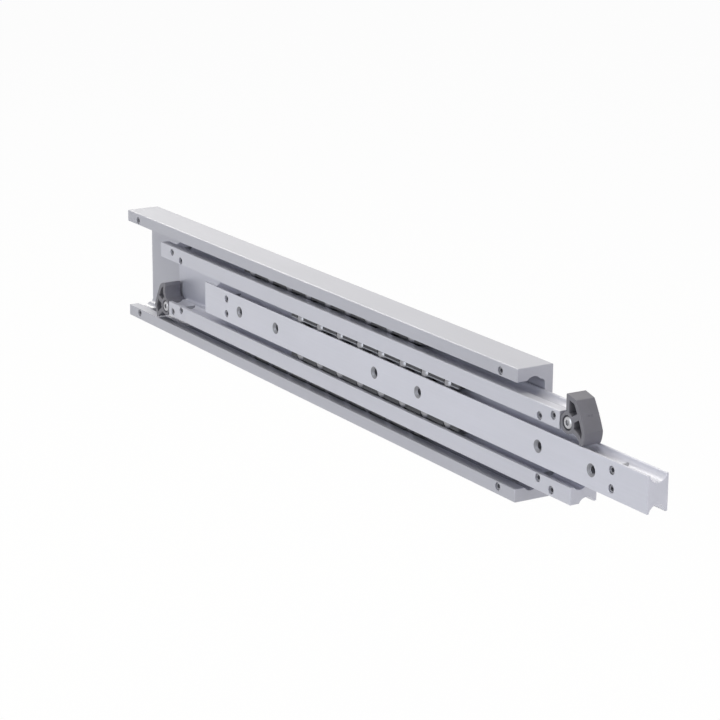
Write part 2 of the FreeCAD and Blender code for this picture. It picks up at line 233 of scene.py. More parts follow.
class Recipe:
    """Node tree of a material or a world, with the method that adds any node to it."""

    def __init__(self, owner: bpy.types.Material | bpy.types.World) -> None:
        """Start with an empty node tree.

        Args:
            owner: The new material or world.
        """
        owner.use_nodes = True
        self.owner = owner
        self.tree = owner.node_tree
        self.tree.nodes.clear()

    @classmethod
    def material(cls, name: str) -> "Recipe":
        """Recipe of a new material."""
        return cls(bpy.data.materials.new(name))

    def node(self, kind: str, settings: dict[str, object] | None = None,
             sockets: dict[int | str, Value] | None = None, out: int | str = 0) -> Signal:
        """Add a node, set it, then fill or link its sockets.

        Args:
            kind: Blender's type name of the node.
            settings: Properties, set first.
            sockets: Values or signals by socket name or number.
            out: Name or number of the output to return.

        Returns:
            The chosen output.
        """
        made = self.tree.nodes.new(kind)
        for name, setting in (settings or {}).items():
            setattr(made, name, setting)
        for key, value in (sockets or {}).items():
            socket = made.inputs[key]
            if isinstance(value, Signal):
                self.tree.links.new(value.socket, socket)
            elif isinstance(value, tuple) and socket.type == "RGBA":
                socket.default_value = (*value, 1.0)
            else:
                socket.default_value = value
        return Signal(self, made.outputs[out] if made.outputs else None)

    def place(self, stretch: Point = EVEN) -> Signal:
        """Object coordinates, scaled along each axis.

        Args:
            stretch: Scale along X, Y and Z.

        Returns:
            The scaled coordinates.
        """
        raw = self.node("ShaderNodeTexCoord", out="Object")
        return self.node("ShaderNodeMapping", None, {"Vector": raw, "Scale": stretch})

    def axes(self) -> tuple[Signal, ...]:
        """Object coordinates as three single values.

        Returns:
            X, Y and Z in metres.
        """
        split = self.node("ShaderNodeSeparateXYZ", None, {0: self.place()}).socket.node
        return tuple(Signal(self, split.outputs[axis]) for axis in "XYZ")

    def noise(self, scale: float, detail: float = 2.0, stretch: Point = EVEN) -> Signal:
        """Noise on object coordinates.

        Args:
            scale: Waves per metre, roughly.
            detail: Number of finer octaves.
            stretch: Scale along each axis, where a small number draws the noise out.

        Returns:
            The noise, around 0.5.
        """
        return self.node("ShaderNodeTexNoise", None,
                         {"Vector": self.place(stretch), "Scale": scale, "Detail": detail})

    def between(self, low: float, high: float, value: Signal) -> Signal:
        """Ramp from 0 to 1 as a value goes from low to high.

        Args:
            low: Value that gives 0.
            high: Value that gives 1.
            value: The signal to ramp.

        Returns:
            The ramped signal.
        """
        return ((value - low) / (high - low)).unit()

    def below(self, limit: float, value: Signal) -> Signal:
        """Mask of where a value stays below a limit.

        Args:
            limit: The limit.
            value: The signal.

        Returns:
            1 below the limit, fading to 0 at it.
        """
        return 1.0 - self.between(limit - MASK_FADE, limit, value)

    def blend(self, first: Colour | Signal, second: Colour | Signal, share: Signal) -> Signal:
        """Mix of two colours.

        Args:
            first: Colour where the share is 0.
            second: Colour where the share is 1.
            share: Share of the second colour.

        Returns:
            The mixed colour.
        """
        return self.node("ShaderNodeMix", {"data_type": "RGBA"},
                         {0: share, MIX_FIRST: first, MIX_SECOND: second}, MIX_COLOUR)

    def bump(self, height: Signal, strength: float, distance: float) -> Signal:
        """Bumped normal.

        Args:
            height: Height signal.
            strength: Strength of the bump.
            distance: Height in metres that 1 stands for.

        Returns:
            The normal.
        """
        return self.node("ShaderNodeBump", None,
                         {"Height": height, "Strength": strength, "Distance": distance})

    def seen(self) -> Signal:
        """Mark the rays that show a surface as it is.

        Returns:
            1 for camera, glossy and transmission rays, and 0 for rays that only light the part.
        """
        names = ("Is Camera Ray", "Is Glossy Ray", "Is Transmission Ray")
        camera, glossy, through = (self.node("ShaderNodeLightPath", out=name) for name in names)
        return (camera + glossy + through).unit()

    def close(self, shader: Signal) -> bpy.types.Material:
        """Link the last shader to the output.

        Args:
            shader: The surface shader.

        Returns:
            The finished material.
        """
        self.node("ShaderNodeOutputMaterial", None, {"Surface": shader})
        return self.owner


# Finishes


@dataclass(frozen=True)
class DrawnSteel:
    """Satin zinc-plated drawn steel: grain along the rail, polished ball tracks, painted shade in
    the bores.

    The balls run at track_y, and at track_z above and below the middle. The bores lie along the
    middle line, from bore_from to bore_to in Y. A bore radius of 0 means that there are none.
    """

    name: str
    track_y: float
    track_z: float
    bore_radius: float = 0.0
    bore_from: float = 0.0
    bore_to: float = 0.0
    # Painted light: factor by which the same steel is painted lighter on a rail
    tone: float = 1.0
    middle_x: float = 0.0
    light: Colour = (0.522, 0.524, 0.592)
    dark: Colour = (0.442, 0.444, 0.502)
    # Painted shade in the fixing holes: its dark colour and how much of it is laid on
    bored: Colour = (0.15, 0.15, 0.16)
    bore_shade: float = 0.75
    metallic: float = 0.30
    roughness: float = 0.38
    cloud_scale: float = 38.0
    cloud_detail: float = 4.0
    cloud_draw: float = 0.35
    cloud_tint: float = 0.7
    cloud_gloss: float = 0.16
    grain_scale: float = 900.0
    grain_detail: float = 3.0
    grain_draw: float = 0.012
    grain_tint: float = 0.5
    grain_gloss: float = 0.22
    grain_relief: float = 0.75
    speck_scale: float = 1260.0
    speck_relief: float = 0.25
    tint_offset: float = 0.1
    bump_strength: float = 0.35
    bump_depth: float = 0.00002
    track_half_width: float = 1.6 * MM
    track_core: float = 0.5
    track_reach: float = 3.4 * MM
    track_polish: float = 0.16
    half_length: float = 250.0 * MM
    end_band: float = 1.0 * MM

    def build(self) -> bpy.types.Material:
        """Make the material.

        Returns:
            The finished material.
        """
        recipe = Recipe.material(self.name)
        cloud = recipe.noise(self.cloud_scale, self.cloud_detail, (self.cloud_draw, 1.0, 1.0))
        grain = recipe.noise(self.grain_scale, self.grain_detail, (self.grain_draw, 1.0, 1.0))
        speck = recipe.noise(self.speck_scale)
        along, depth, height = recipe.axes()
        clear = recipe.below(self.half_length - self.end_band, abs(along - self.middle_x))
        tint = (cloud * self.cloud_tint + grain * self.grain_tint - self.tint_offset).unit()
        # Painted light: both steel colours are lightened by the rail's factor
        colour = recipe.blend(self._toned(self.dark), self._toned(self.light), tint)
        # Painted shade: the walls of the fixing holes and their countersinks are darkened
        if self.bore_radius:
            bore = clear * self._bore(recipe, depth, height)
            colour = recipe.blend(colour, self.bored, bore * self.bore_shade)
        track = clear * self._track(recipe, depth, height)
        roughness = self.roughness + (grain - NOISE_MIDDLE) * self.grain_gloss
        roughness = roughness + (cloud - NOISE_MIDDLE) * self.cloud_gloss
        roughness = roughness - track * self.track_polish
        relief = grain * self.grain_relief + speck * self.speck_relief
        return recipe.close(recipe.node("ShaderNodeBsdfPrincipled", None, {
            "Base Color": colour, "Roughness": roughness, "Metallic": self.metallic,
            "Normal": recipe.bump(relief, self.bump_strength, self.bump_depth)}))

    def _toned(self, colour: Colour) -> Colour:
        """Colour painted lighter by the rail's factor, as painted light."""
        return tuple(channel * self.tone for channel in colour)

    def _track(self, recipe: Recipe, depth: Signal, height: Signal) -> Signal:
        """Mask of the bands that the balls run on.

        Args:
            recipe: The material.
            depth: Y of the surface.
            height: Z of the surface.

        Returns:
            1 in the middle of a ball track and 0 away from it.
        """
        across = abs(depth - self.track_y)
        core = self.track_half_width * self.track_core
        band = 1.0 - recipe.between(core, self.track_half_width, across)
        return band * recipe.below(self.track_reach, abs(abs(height) - self.track_z))

    def _bore(self, recipe: Recipe, depth: Signal, height: Signal) -> Signal:
        """Mask of the countersinks and the holes behind them, where the shade is painted.

        Args:
            recipe: The material.
            depth: Y of the surface.
            height: Z of the surface.

        Returns:
            1 inside a fixing hole.
        """
        middle = (self.bore_from + self.bore_to) / 2
        half = (self.bore_to - self.bore_from) / 2
        inside = recipe.below(half, abs(depth - middle))
        return inside * recipe.below(self.bore_radius, abs(height))


@dataclass(frozen=True)
class BrightSteel:
    """Polished or plated steel with fine smears in its gloss."""

    name: str
    colour: Colour = (0.66, 0.66, 0.68)
    shadow: Colour = (0.52, 0.52, 0.55)
    metallic: float = 1.0
    roughness: float = 0.20
    spread: float = 0.16
    smear_scale: float = 420.0
    smear_detail: float = 4.0
    smear_from: float = 0.25
    smear_to: float = 0.6
    fine_scale: float = 2520.0
    bump_strength: float = 0.3
    bump_depth: float = 0.00001

    def build(self) -> bpy.types.Material:
        """Make the material.

        Returns:
            The finished material.
        """
        recipe = Recipe.material(self.name)
        smear = recipe.noise(self.smear_scale, self.smear_detail)
        fine = recipe.noise(self.fine_scale)
        share = recipe.between(self.smear_from, self.smear_to, smear)
        return recipe.close(recipe.node("ShaderNodeBsdfPrincipled", None, {
            "Base Color": recipe.blend(self.shadow, self.colour, share),
            "Metallic": self.metallic,
            "Roughness": self.roughness + (smear - NOISE_MIDDLE) * self.spread,
            "Normal": recipe.bump(fine, self.bump_strength, self.bump_depth)}))


@dataclass(frozen=True)
class MouldedNylon:
    """Filled nylon as moulded: fine spark-eroded texture, faint flow marks, soft sheen.

    A painted highlight on the front edge, where there is one, reaches back to its set depth in Y
    and out to its set height above and below the middle. A height of 0 means that there is none.
    """

    name: str
    light: Colour
    dark: Colour
    roughness: float = 0.52
    specular: float = 0.45
    flow_scale: float = 90.0
    flow_detail: float = 4.0
    flow_from: float = 0.3
    flow_to: float = 0.7
    flow_tint: float = 0.65
    flow_gloss: float = 0.18
    texture_scale: float = 2600.0
    texture_detail: float = 3.0
    texture_tint: float = 0.35
    texture_gloss: float = 0.1
    bump_strength: float = 0.5
    bump_depth: float = 0.00003
    # Painted highlight along the cage's front edge: its colour, how far back and how far out it
    # reaches
    edge: Colour = (0.50, 0.50, 0.54)
    edge_depth: float = 0.0
    edge_height: float = 0.0

    def build(self) -> bpy.types.Material:
        """Make the material.

        Returns:
            The finished material.
        """
        recipe = Recipe.material(self.name)
        flow = recipe.noise(self.flow_scale, self.flow_detail)
        texture = recipe.noise(self.texture_scale, self.texture_detail)
        marks = recipe.between(self.flow_from, self.flow_to, flow)
        tint = (marks * self.flow_tint + texture * self.texture_tint).unit()
        colour = recipe.blend(self.dark, self.light, tint)
        # Painted highlight: a pale band on the front edge stands in for the light that it catches
        if self.edge_height:
            depth, height = recipe.axes()[1:]
            front = recipe.below(self.edge_depth, depth)
            colour = recipe.blend(colour, self.edge,
                                  front * recipe.below(self.edge_height, abs(height)))
        roughness = self.roughness + (flow - NOISE_MIDDLE) * self.flow_gloss
        return recipe.close(recipe.node("ShaderNodeBsdfPrincipled", None, {
            "Base Color": colour,
            "Roughness": roughness + (texture - NOISE_MIDDLE) * self.texture_gloss,
            "Specular IOR Level": self.specular,
            "Normal": recipe.bump(texture, self.bump_strength, self.bump_depth)}))


@dataclass(frozen=True)
class StudioWhite:
    """Floor that looks white to the camera and in reflections, and keeps shadows."""

    name: str
    paper: Colour = (0.9, 0.9, 0.9)
    glow: float = 1.0
    shown_share: float = 0.97

    def build(self) -> bpy.types.Material:
        """Make the material.

        Returns:
            The finished material.
        """
        recipe = Recipe.material(self.name)
        seen = recipe.seen() * self.shown_share
        paper = recipe.node("ShaderNodeBsdfDiffuse", None, {"Color": self.paper})
        glow = recipe.node("ShaderNodeEmission", None, {"Color": WHITE, "Strength": self.glow})
        return recipe.close(recipe.node("ShaderNodeMixShader", None, {0: seen, 1: paper, 2: glow}))


# Modelling moves


class Bench:
    """The modelling moves that every sub-assembly shares."""

    @staticmethod
    def deselect() -> None:
        """Leave edit mode and deselect everything."""
        if bpy.context.object and bpy.context.object.mode != "OBJECT":
            bpy.ops.object.mode_set(mode="OBJECT")
        bpy.ops.object.select_all(action="DESELECT")

    @staticmethod
    def focus(piece: bpy.types.Object) -> None:
        """Make one piece the only selected and the active one.

        Args:
            piece: The piece to work on.
        """
        Bench.deselect()
        piece.select_set(True)
        bpy.context.view_layer.objects.active = piece

    @staticmethod
    def edit(piece: bpy.types.Object, element: Element, whole: bool = False) -> None:
        """Enter edit mode on one piece.

        Args:
            piece: The piece to edit.
            element: What is selected there.
            whole: True to start with the whole piece selected, False with nothing.
        """
        Bench.focus(piece)
        bpy.ops.object.mode_set(mode="EDIT")
        bpy.ops.mesh.select_mode(type=element.value)
        bpy.ops.mesh.select_all(action="SELECT" if whole else "DESELECT")

    @staticmethod
    def pick(piece: bpy.types.Object, element: Element,
             wanted: Callable[[bmesh.types.BMEdge | bmesh.types.BMFace], bool]) -> None:
        """Enter edit mode with only the wanted edges or faces selected.

        Args:
            piece: The piece to edit.
            element: EDGE or FACE.
            wanted: Test that an edge or face has to pass.
        """
        Bench.edit(piece, element)
        mesh = bmesh.from_edit_mesh(piece.data)
        parts = mesh.edges if element is Element.EDGE else mesh.faces
        found = [part for part in parts if wanted(part)]
        for part in found:
            part.select_set(True)
        bmesh.update_edit_mesh(piece.data)

    @staticmethod
    def settle(piece: bpy.types.Object) -> None:
        """Put a piece's place, turn and scale into its mesh.

        Args:
            piece: The piece.
        """
        Bench.focus(piece)
        bpy.ops.object.transform_apply(location=True, rotation=True, scale=True)

    @staticmethod
    def rod(name: str, radius: float, start: float, end: float, sides: int) -> bpy.types.Object:
        """Add a cylinder round the Y axis.

        Args:
            name: Name of the piece.
            radius: Radius in metres.
            start: Y of its front face.
            end: Y of its back face.
            sides: Number of sides.

        Returns:
            The piece, with its place in its mesh.
        """
        Bench.deselect()
        bpy.ops.mesh.primitive_cylinder_add(
            vertices=sides, radius=radius, depth=end - start,
            location=(0.0, (start + end) / 2, 0.0), rotation=(math.pi / 2, 0.0, 0.0))
        piece = bpy.context.object
        piece.name = name
        Bench.settle(piece)
        return piece

    @staticmethod
    def discard(piece: bpy.types.Object) -> None:
        """Delete a pattern or a tool with its mesh."""
        bpy.data.meshes.remove(piece.data)

    @staticmethod
    def cut(piece: bpy.types.Object, tool: bpy.types.Object) -> None:
        """Cut a tool's shape out of a piece, and delete the tool.

        Args:
            piece: The piece to cut.
            tool: The shape to take away.
        """
        Bench.focus(piece)
        cutter = piece.modifiers.new("Cut", "BOOLEAN")
        cutter.operation = "DIFFERENCE"
        cutter.solver = "EXACT"
        cutter.object = tool
        bpy.ops.object.modifier_apply(modifier=cutter.name)
        Bench.discard(tool)

    @staticmethod
    def round_edges(piece: bpy.types.Object, width: float, angle: float, segments: int = 2) -> None:
        """Round every edge that is sharper than an angle.

        Args:
            piece: The piece.
            width: Width of the rounding in metres.
            angle: Smallest angle between two faces.
            segments: Steps across the rounding.
        """
        Bench.focus(piece)
        bevel = piece.modifiers.new("Round", "BEVEL")
        bevel.width = width
        bevel.segments = segments
        bevel.limit_method = "ANGLE"
        bevel.angle_limit = math.radians(angle)
        bevel.use_clamp_overlap = True
        bpy.ops.object.modifier_apply(modifier=bevel.name)

    @staticmethod
    def clear_slivers(piece: bpy.types.Object) -> None:
        """Merge points that a bevel or a cut has left on top of each other.

        Args:
            piece: The piece.
        """
        Bench.edit(piece, Element.POINT, whole=True)
        bpy.ops.mesh.remove_doubles(threshold=MERGE_REACH)
        bpy.ops.mesh.dissolve_degenerate(threshold=MERGE_REACH)
        Bench.deselect()

    @staticmethod
    def smooth(piece: bpy.types.Object, angle: float = SMOOTH_ANGLE) -> None:
        """Shade a piece smooth up to an angle, with its flats kept level.

        Args:
            piece: The piece.
            angle: Largest smoothed angle.
        """
        Bench.clear_slivers(piece)
        Bench.focus(piece)
        bpy.ops.object.shade_smooth_by_angle(angle=math.radians(angle))
        level = piece.modifiers.new("Level", "WEIGHTED_NORMAL")
        level.weight = LEVEL_WEIGHT
        level.keep_sharp = True
        bpy.ops.object.modifier_apply(modifier=level.name)

    @staticmethod
    def copy_at(pattern: bpy.types.Object, name: str, place: Matrix) -> bpy.types.Object:
        """Copy a pattern piece with its own mesh.

        Args:
            pattern: The piece to copy.
            name: Name of the copy.
            place: Where the copy goes.

        Returns:
            The copy, with its place in its mesh.
        """
        mesh = pattern.data.copy()
        mesh.transform(place)
        made = bpy.data.objects.new(name, mesh)
        bpy.context.scene.collection.objects.link(made)
        return made

    @staticmethod
    def from_node(node: bpy.types.Object, name: str) -> bpy.types.Object:
        """Copy a node of the frame as clean faces that can be bevelled.

        Args:
            node: The node's object.
            name: Name of the copy.

        Returns:
            The copy, merged and with its flat faces joined.
        """
        made = Bench.copy_at(node, name, Matrix.Identity(4))
        Bench.edit(made, Element.POINT, whole=True)
        bpy.ops.mesh.remove_doubles(threshold=MERGE_REACH)
        bpy.ops.mesh.dissolve_limited(angle_limit=math.radians(FLAT_ANGLE))
        Bench.deselect()
        return made


@dataclass
class Dresser:
    """Gives each piece its finish and its body, and hides the nodes that it stands for."""

    frame: dict[str, object]
    count: int = 0

    def node(self, name: str) -> bpy.types.Object:
        """Object of a node of the frame."""
        return self.frame["nodes"][name]

    def paint(self, piece: bpy.types.Object, finish: bpy.types.Material) -> None:
        """Give a piece one finish.

        Args:
            piece: The piece.
            finish: The material.
        """
        piece.data.materials.clear()
        piece.data.materials.append(finish)

    def hand_over(self, piece: bpy.types.Object, body: str, slot: str, finish: bpy.types.Material,
                  *nodes: str) -> None:
        """Finish a new piece and attach it.

        Args:
            piece: The piece.
            body: Body that it rides on.
            slot: Material slot of the record; not used.
            finish: The material.
            nodes: Nodes that it stands for.
        """
        self.paint(piece, finish)
        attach(piece, body)
        if nodes:
            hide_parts(*nodes)
        self.count += 1
        LOG.info("%s rides on %s", piece.name, body)


# Sub-assemblies


@dataclass
class Rails:
    """The three drawn rails, with deburred rims round the end faces and the screw holes."""

    dresser: Dresser
    rim_width: float = 0.45 * MM
    hole_rim: float = 0.2 * MM
    hole_step: float = 1.2 * MM
    end_margin: float = 5.0 * MM
    slack: float = 0.05 * MM
    sharp_angle: float = 50.0
    steels: dict[Rail, DrawnSteel] = field(default_factory=lambda: {
        Rail.OUTER: DrawnSteel(
            "drawn_steel_outer", track_y=-13.45 * MM, track_z=34.1 * MM,
            bore_radius=5.1 * MM, bore_from=-5.6 * MM, bore_to=-0.1 * MM),
        # The middle and inner rails carry painted light: the same steel, painted lighter
        Rail.MIDDLE: DrawnSteel(
            "drawn_steel_middle", track_y=-13.45 * MM, track_z=22.7 * MM, tone=1.23),
        Rail.INNER: DrawnSteel(
            "drawn_steel_inner", track_y=-18.1 * MM, track_z=6.1 * MM,
            bore_radius=4.0 * MM, bore_from=-24.94 * MM, bore_to=-11.3 * MM, tone=1.34)})

    def build(self) -> None:
        """Dress the three rails."""
        for rail, steel in self.steels.items():
            node = f"{rail.value}_rail"
            low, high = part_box(node)
            piece = Bench.from_node(self.dresser.node(node), f"{node}_deburred")
            self._deburr_holes(piece, low, high)
            self._deburr_ends(piece, low.x, high.x)
            Bench.smooth(piece)
            finish = replace(steel, middle_x=(low.x + high.x) / 2).build()
            self.dresser.hand_over(piece, rail.value, "rail_steel", finish, node)

    def _sharp(self, edge: bmesh.types.BMEdge) -> bool:
        """True for an edge that a file would catch on."""
        return edge.calc_face_angle(0.0) > math.radians(self.sharp_angle)

    def _deburr_ends(self, piece: bpy.types.Object, *ends: float) -> None:
        """Round the rim of both end faces.

        Args:
            piece: The rail.
            ends: X of the two end faces.
        """
        def in_end_face(edge: bmesh.types.BMEdge) -> bool:
            """True where both points of an edge lie in the same end face."""
            return any(all(abs(vertex.co.x - end) < self.slack for vertex in edge.verts)
                       for end in ends)

        Bench.pick(piece, Element.EDGE, lambda edge: self._sharp(edge) and in_end_face(edge))
        bpy.ops.mesh.bevel(offset=self.rim_width, segments=2, affect="EDGES", clamp_overlap=True)
        Bench.deselect()

    def _deburr_holes(self, piece: bpy.types.Object, low: Vector, high: Vector) -> None:
        """Break the rims of the stop screws' holes in the open front.

        Args:
            piece: The rail.
            low: Lowest corner of the rail's box.
            high: Highest corner of the rail's box.
        """
        def on_hole_rim(edge: bmesh.types.BMEdge) -> bool:
            """True for a short edge in the open front, away from the rail's ends."""
            return edge.calc_length() < self.hole_step and all(
                abs(vertex.co.y - low.y) < self.slack
                and low.x + self.end_margin < vertex.co.x < high.x - self.end_margin
                for vertex in edge.verts)

        Bench.pick(piece, Element.EDGE, lambda edge: self._sharp(edge) and on_hole_rim(edge))
        bpy.ops.mesh.bevel(offset=self.hole_rim, segments=1, affect="EDGES", clamp_overlap=True)
        Bench.deselect()


@dataclass
class StopScrews:
    """Grub screws across the ends of the races, each with a chamfered rim and a hexagon socket."""

    dresser: Dresser
    finish: bpy.types.Material
    hole_radius: float = 2.5 * MM
    radius: float = 2.38 * MM
    recess: float = 0.7 * MM
    rim: float = 0.4 * MM
    socket_flats: float = 2.5 * MM
    socket_depth: float = 2.3 * MM
    cone_inset: float = 0.2
    cone_depth: float = 0.18
    burr: float = 0.08 * MM
    burr_angle: float = 50.0
    end_turn: float = 17.0
    level_turn: float = 9.0
    sides: int = 48

    def build(self) -> None:
        """Dress the four sets of screws."""
        sets = {"outer_stop_screws": Rail.OUTER, "middle_outer_stop_screws": Rail.MIDDLE,
                "middle_inner_stop_screws": Rail.MIDDLE, "inner_stop_screws": Rail.INNER}
        for node, rail in sets.items():
            low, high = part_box(node)
            pattern = self._pattern(high.y - low.y)
            inset = (high.z - low.z) / 2 - self.hole_radius
            for end in End:
                x = (high.x if end is End.RIGHT else low.x) - end.value * self.hole_radius
                for level in Level:
                    place = Matrix.Translation((x, low.y, level.value * inset))
                    angle = self.end_turn * end.value + self.level_turn * level.value
                    turn = Matrix.Rotation(math.radians(angle), 4, "Y")
                    name = f"{node[:-1]}_{end.word}_{level.word}"
                    piece = Bench.copy_at(pattern, name, place @ turn)
                    self.dresser.hand_over(piece, rail.value, "screw_steel", self.finish, node)
            Bench.discard(pattern)

    def _pattern(self, length: float) -> bpy.types.Object:
        """Model one screw with its front at the origin.

        Args:
            length: Length of the screw.

        Returns:
            The pattern piece.
        """
        piece = Bench.rod("grub_pattern", self.radius, self.recess, length, self.sides)
        Bench.pick(piece, Element.EDGE,
                   lambda edge: abs(edge.verts[0].co.y - edge.verts[1].co.y) < TINY)
        bpy.ops.mesh.bevel(offset=self.rim, segments=2, affect="EDGES")
        Bench.deselect()
        socket = Bench.rod("socket", self.socket_flats / math.sqrt(3), -self.recess,
                           self.recess + self.socket_depth, HEXAGON)
        Bench.pick(socket, Element.FACE, lambda face: face.normal.y > FACING)
        bpy.ops.mesh.inset(thickness=self.socket_flats * self.cone_inset,
                           depth=self.socket_flats * self.cone_depth)
        Bench.cut(piece, socket)
        Bench.round_edges(piece, self.burr, self.burr_angle, segments=1)
        Bench.smooth(piece)
        return piece


@dataclass
class BallRows:
    """The rolling balls, made smooth, one piece each."""

    dresser: Dresser
    finish: bpy.types.Material
    diameter: float = 11.0 * MM
    pitch: float = 25.0 * MM
    cuts: int = 7
    smooth_angle: float = 60.0

    def build(self) -> None:
        """Dress the four rows."""
        pattern = self._pattern()
        for rail, level, body in ball_rows():
            node = f"{rail.value}_balls_{level.word}"
            low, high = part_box(node)
            middle = (low + high) / 2
            number = round((high.x - low.x - self.diameter) / self.pitch) + 1
            for index in range(number):
                x = low.x + self.diameter / 2 + index * self.pitch
                place = Matrix.Translation((x, middle.y, middle.z))
                name = f"{rail.value}_ball_{level.word}_{index + 1}"
                piece = Bench.copy_at(pattern, name, place)
                self.dresser.hand_over(piece, body, "ball_steel", self.finish, node)
        Bench.discard(pattern)

    def _pattern(self) -> bpy.types.Object:
        """Model one ball from a cube, so that it has no poles.

        Returns:
            The pattern piece.
        """
        Bench.deselect()
        bpy.ops.mesh.primitive_cube_add(size=self.diameter)
        piece = bpy.context.object
        Bench.edit(piece, Element.FACE, whole=True)
        bpy.ops.mesh.subdivide(number_cuts=self.cuts)
        bpy.ops.transform.tosphere(value=1.0)
        Bench.deselect()
        reach = max(vertex.co.length for vertex in piece.data.vertices)
        piece.data.transform(Matrix.Scale(self.diameter / 2 / reach, 4))
        Bench.smooth(piece, self.smooth_angle)
        return piece


@dataclass
class Cages:
    """The four ball cages, with softened edges and a sunk panel between the pockets."""

    dresser: Dresser
    finishes: dict[Rail, bpy.types.Material]
    edge_width: float = 0.25 * MM
    edge_angle: float = 40.0
    panel_margin: float = 0.9 * MM
    panel_depth: float = 0.6 * MM
    front_facing: float = 0.99

    def build(self) -> None:
        """Dress the four cages."""
        for rail, level, body in ball_rows():
            node = f"{rail.value}_cage_{level.word}"
            piece = Bench.from_node(self.dresser.node(node), f"{node}_moulded")
            self._sink_panels(piece)
            Bench.round_edges(piece, self.edge_width, self.edge_angle)
            Bench.smooth(piece)
            self.dresser.hand_over(piece, body, "cage_plastic", self.finishes[rail], node)

    def _sink_panels(self, piece: bpy.types.Object) -> None:
        """Sink the flats between the pockets on the front.

        Args:
            piece: The cage.
        """
        Bench.pick(piece, Element.FACE, lambda face: face.normal.y < -self.front_facing)
        bpy.ops.mesh.inset(thickness=self.panel_margin, depth=-self.panel_depth,
                           use_individual=True)
        Bench.deselect()


@dataclass
class Rockers:
    """The two moulded rockers, with softened edges and two ejector marks on the long side."""

    dresser: Dresser
    finish: bpy.types.Material
    edge_width: float = 0.35 * MM
    edge_angle: float = 38.0
    mark_radius: float = 0.8 * MM
    mark_depth: float = 0.3 * MM
    mark_reach: float = 14.25 * MM
    mark_angle: float = 27.0
    mark_places: tuple[float, float] = (-19.6 * MM, -17.4 * MM)
    mark_sides: int = 20
    swung_in: float = 55.0

    def build(self) -> None:
        """Dress the two rockers."""
        for end in End:
            node = f"rocker_{end.word}"
            piece = Bench.from_node(self.dresser.node(node), f"{node}_moulded")
            turn = 0.0 if end is End.RIGHT else self.swung_in + HALF_TURN
            self._press_marks(piece, f"rocker_screw_{end.word}", turn)
            Bench.round_edges(piece, self.edge_width, self.edge_angle)
            Bench.smooth(piece)
            self.dresser.hand_over(piece, node, "rocker_plastic", self.finish, node)

    def _press_marks(self, piece: bpy.types.Object, screw: str, turn: float) -> None:
        """Sink the two ejector marks into the long side.

        Args:
            piece: The rocker.
            screw: Node of its screw, which marks the pivot.
            turn: Turn of the rocker from the right one's place.
        """
        low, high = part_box(screw)
        pivot = Vector(((low.x + high.x) / 2, 0.0, (low.z + high.z) / 2))
        upright = Matrix.Rotation(-math.pi / 2, 4, "Z")
        spin = Matrix.Rotation(math.radians(turn - self.mark_angle), 4, "Y")
        for place in self.mark_places:
            tool = Bench.rod("ejector_mark", self.mark_radius, -self.mark_depth, self.mark_depth,
                             self.mark_sides)
            away = Matrix.Translation((self.mark_reach, place, 0.0))
            tool.data.transform(Matrix.Translation(pivot) @ spin @ away @ upright)
            Bench.cut(piece, tool)


@dataclass
class RockerPivots:
    """Pan-head screws with a six-lobe drive, over bushes that stay as the frame has them."""

    dresser: Dresser
    finish: bpy.types.Material
    bush_finish: bpy.types.Material
    head_radius: float = 3.95 * MM
    head_height: float = 3.1 * MM
    head_sides: int = 48
    dome_width: float = 1.9 * MM
    dome_profile: float = 0.6
    dome_steps: int = 6
    shank_radius: float = 2.0 * MM
    drive_radius: float = 1.85 * MM
    drive_depth: float = 1.6 * MM
    drive_turn: float = 12.0
    lobes: int = 6
    lobe_steps: int = 4
    valley: float = 0.74
    flank: float = 0.88
    burr: float = 0.08 * MM
    burr_angle: float = 45.0

    def build(self) -> None:
        """Dress both pivots."""
        pattern = self._pattern()
        for end in End:
            node = f"rocker_screw_{end.word}"
            low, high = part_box(node)
            place = Matrix.Translation(((low.x + high.x) / 2, low.y, (low.z + high.z) / 2))
            turn = Matrix.Rotation(math.radians(self.drive_turn * end.value), 4, "Y")
            piece = Bench.copy_at(pattern, f"{node}_pan_head", place @ turn)
            self.dresser.hand_over(piece, "middle", "screw_steel", self.finish, node)
            self.dresser.paint(self.dresser.node(f"rocker_bush_{end.word}"), self.bush_finish)
        Bench.discard(pattern)

    def _pattern(self) -> bpy.types.Object:
        """Model one screw with the top of its head at the origin.

        Returns:
            The pattern piece.
        """
        low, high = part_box("rocker_screw_right")
        shank = high.y - low.y - self.head_height
        piece = Bench.rod("pan_head_pattern", self.head_radius, 0.0, self.head_height,
                          self.head_sides)
        Bench.pick(piece, Element.EDGE, lambda edge: max(v.co.y for v in edge.verts) < TINY)
        bpy.ops.mesh.bevel(offset=self.dome_width, segments=self.dome_steps,
                           profile=self.dome_profile, affect="EDGES")
        Bench.pick(piece, Element.FACE, lambda face: face.normal.y > FACING)
        bpy.ops.mesh.inset(thickness=self.head_radius - self.shank_radius)
        bpy.ops.mesh.extrude_region_move(TRANSFORM_OT_translate={"value": (0.0, shank, 0.0)})
        Bench.deselect()
        Bench.cut(piece, self._drive())
        Bench.round_edges(piece, self.burr, self.burr_angle, segments=1)
        Bench.smooth(piece)
        return piece

    def _drive(self) -> bpy.types.Object:
        """Shape the six-lobe drive from a cylinder by drawing in its valleys.

        Returns:
            The cutting tool.
        """
        sides = self.lobes * self.lobe_steps
        tool = Bench.rod("drive", self.drive_radius, -self.drive_depth, self.drive_depth, sides)

        def steps_from_crest(edge: bmesh.types.BMEdge) -> int:
            """Place of an upright edge in its lobe, 2 in the valley, or -1 for a level edge."""
            if abs(edge.verts[0].co.y - edge.verts[1].co.y) < TINY:
                return -1
            turn = math.atan2(edge.verts[0].co.z, edge.verts[0].co.x)
            step = round(turn / (2 * math.pi / sides)) % self.lobe_steps
            return min(step, self.lobe_steps - step)

        for wanted, pull in ((2, self.valley), (1, self.flank)):
            Bench.pick(tool, Element.EDGE,
                       lambda edge, wanted=wanted: steps_from_crest(edge) == wanted)
            bpy.ops.transform.resize(value=(pull, 1.0, pull))
        Bench.deselect()
        return tool


# Studio


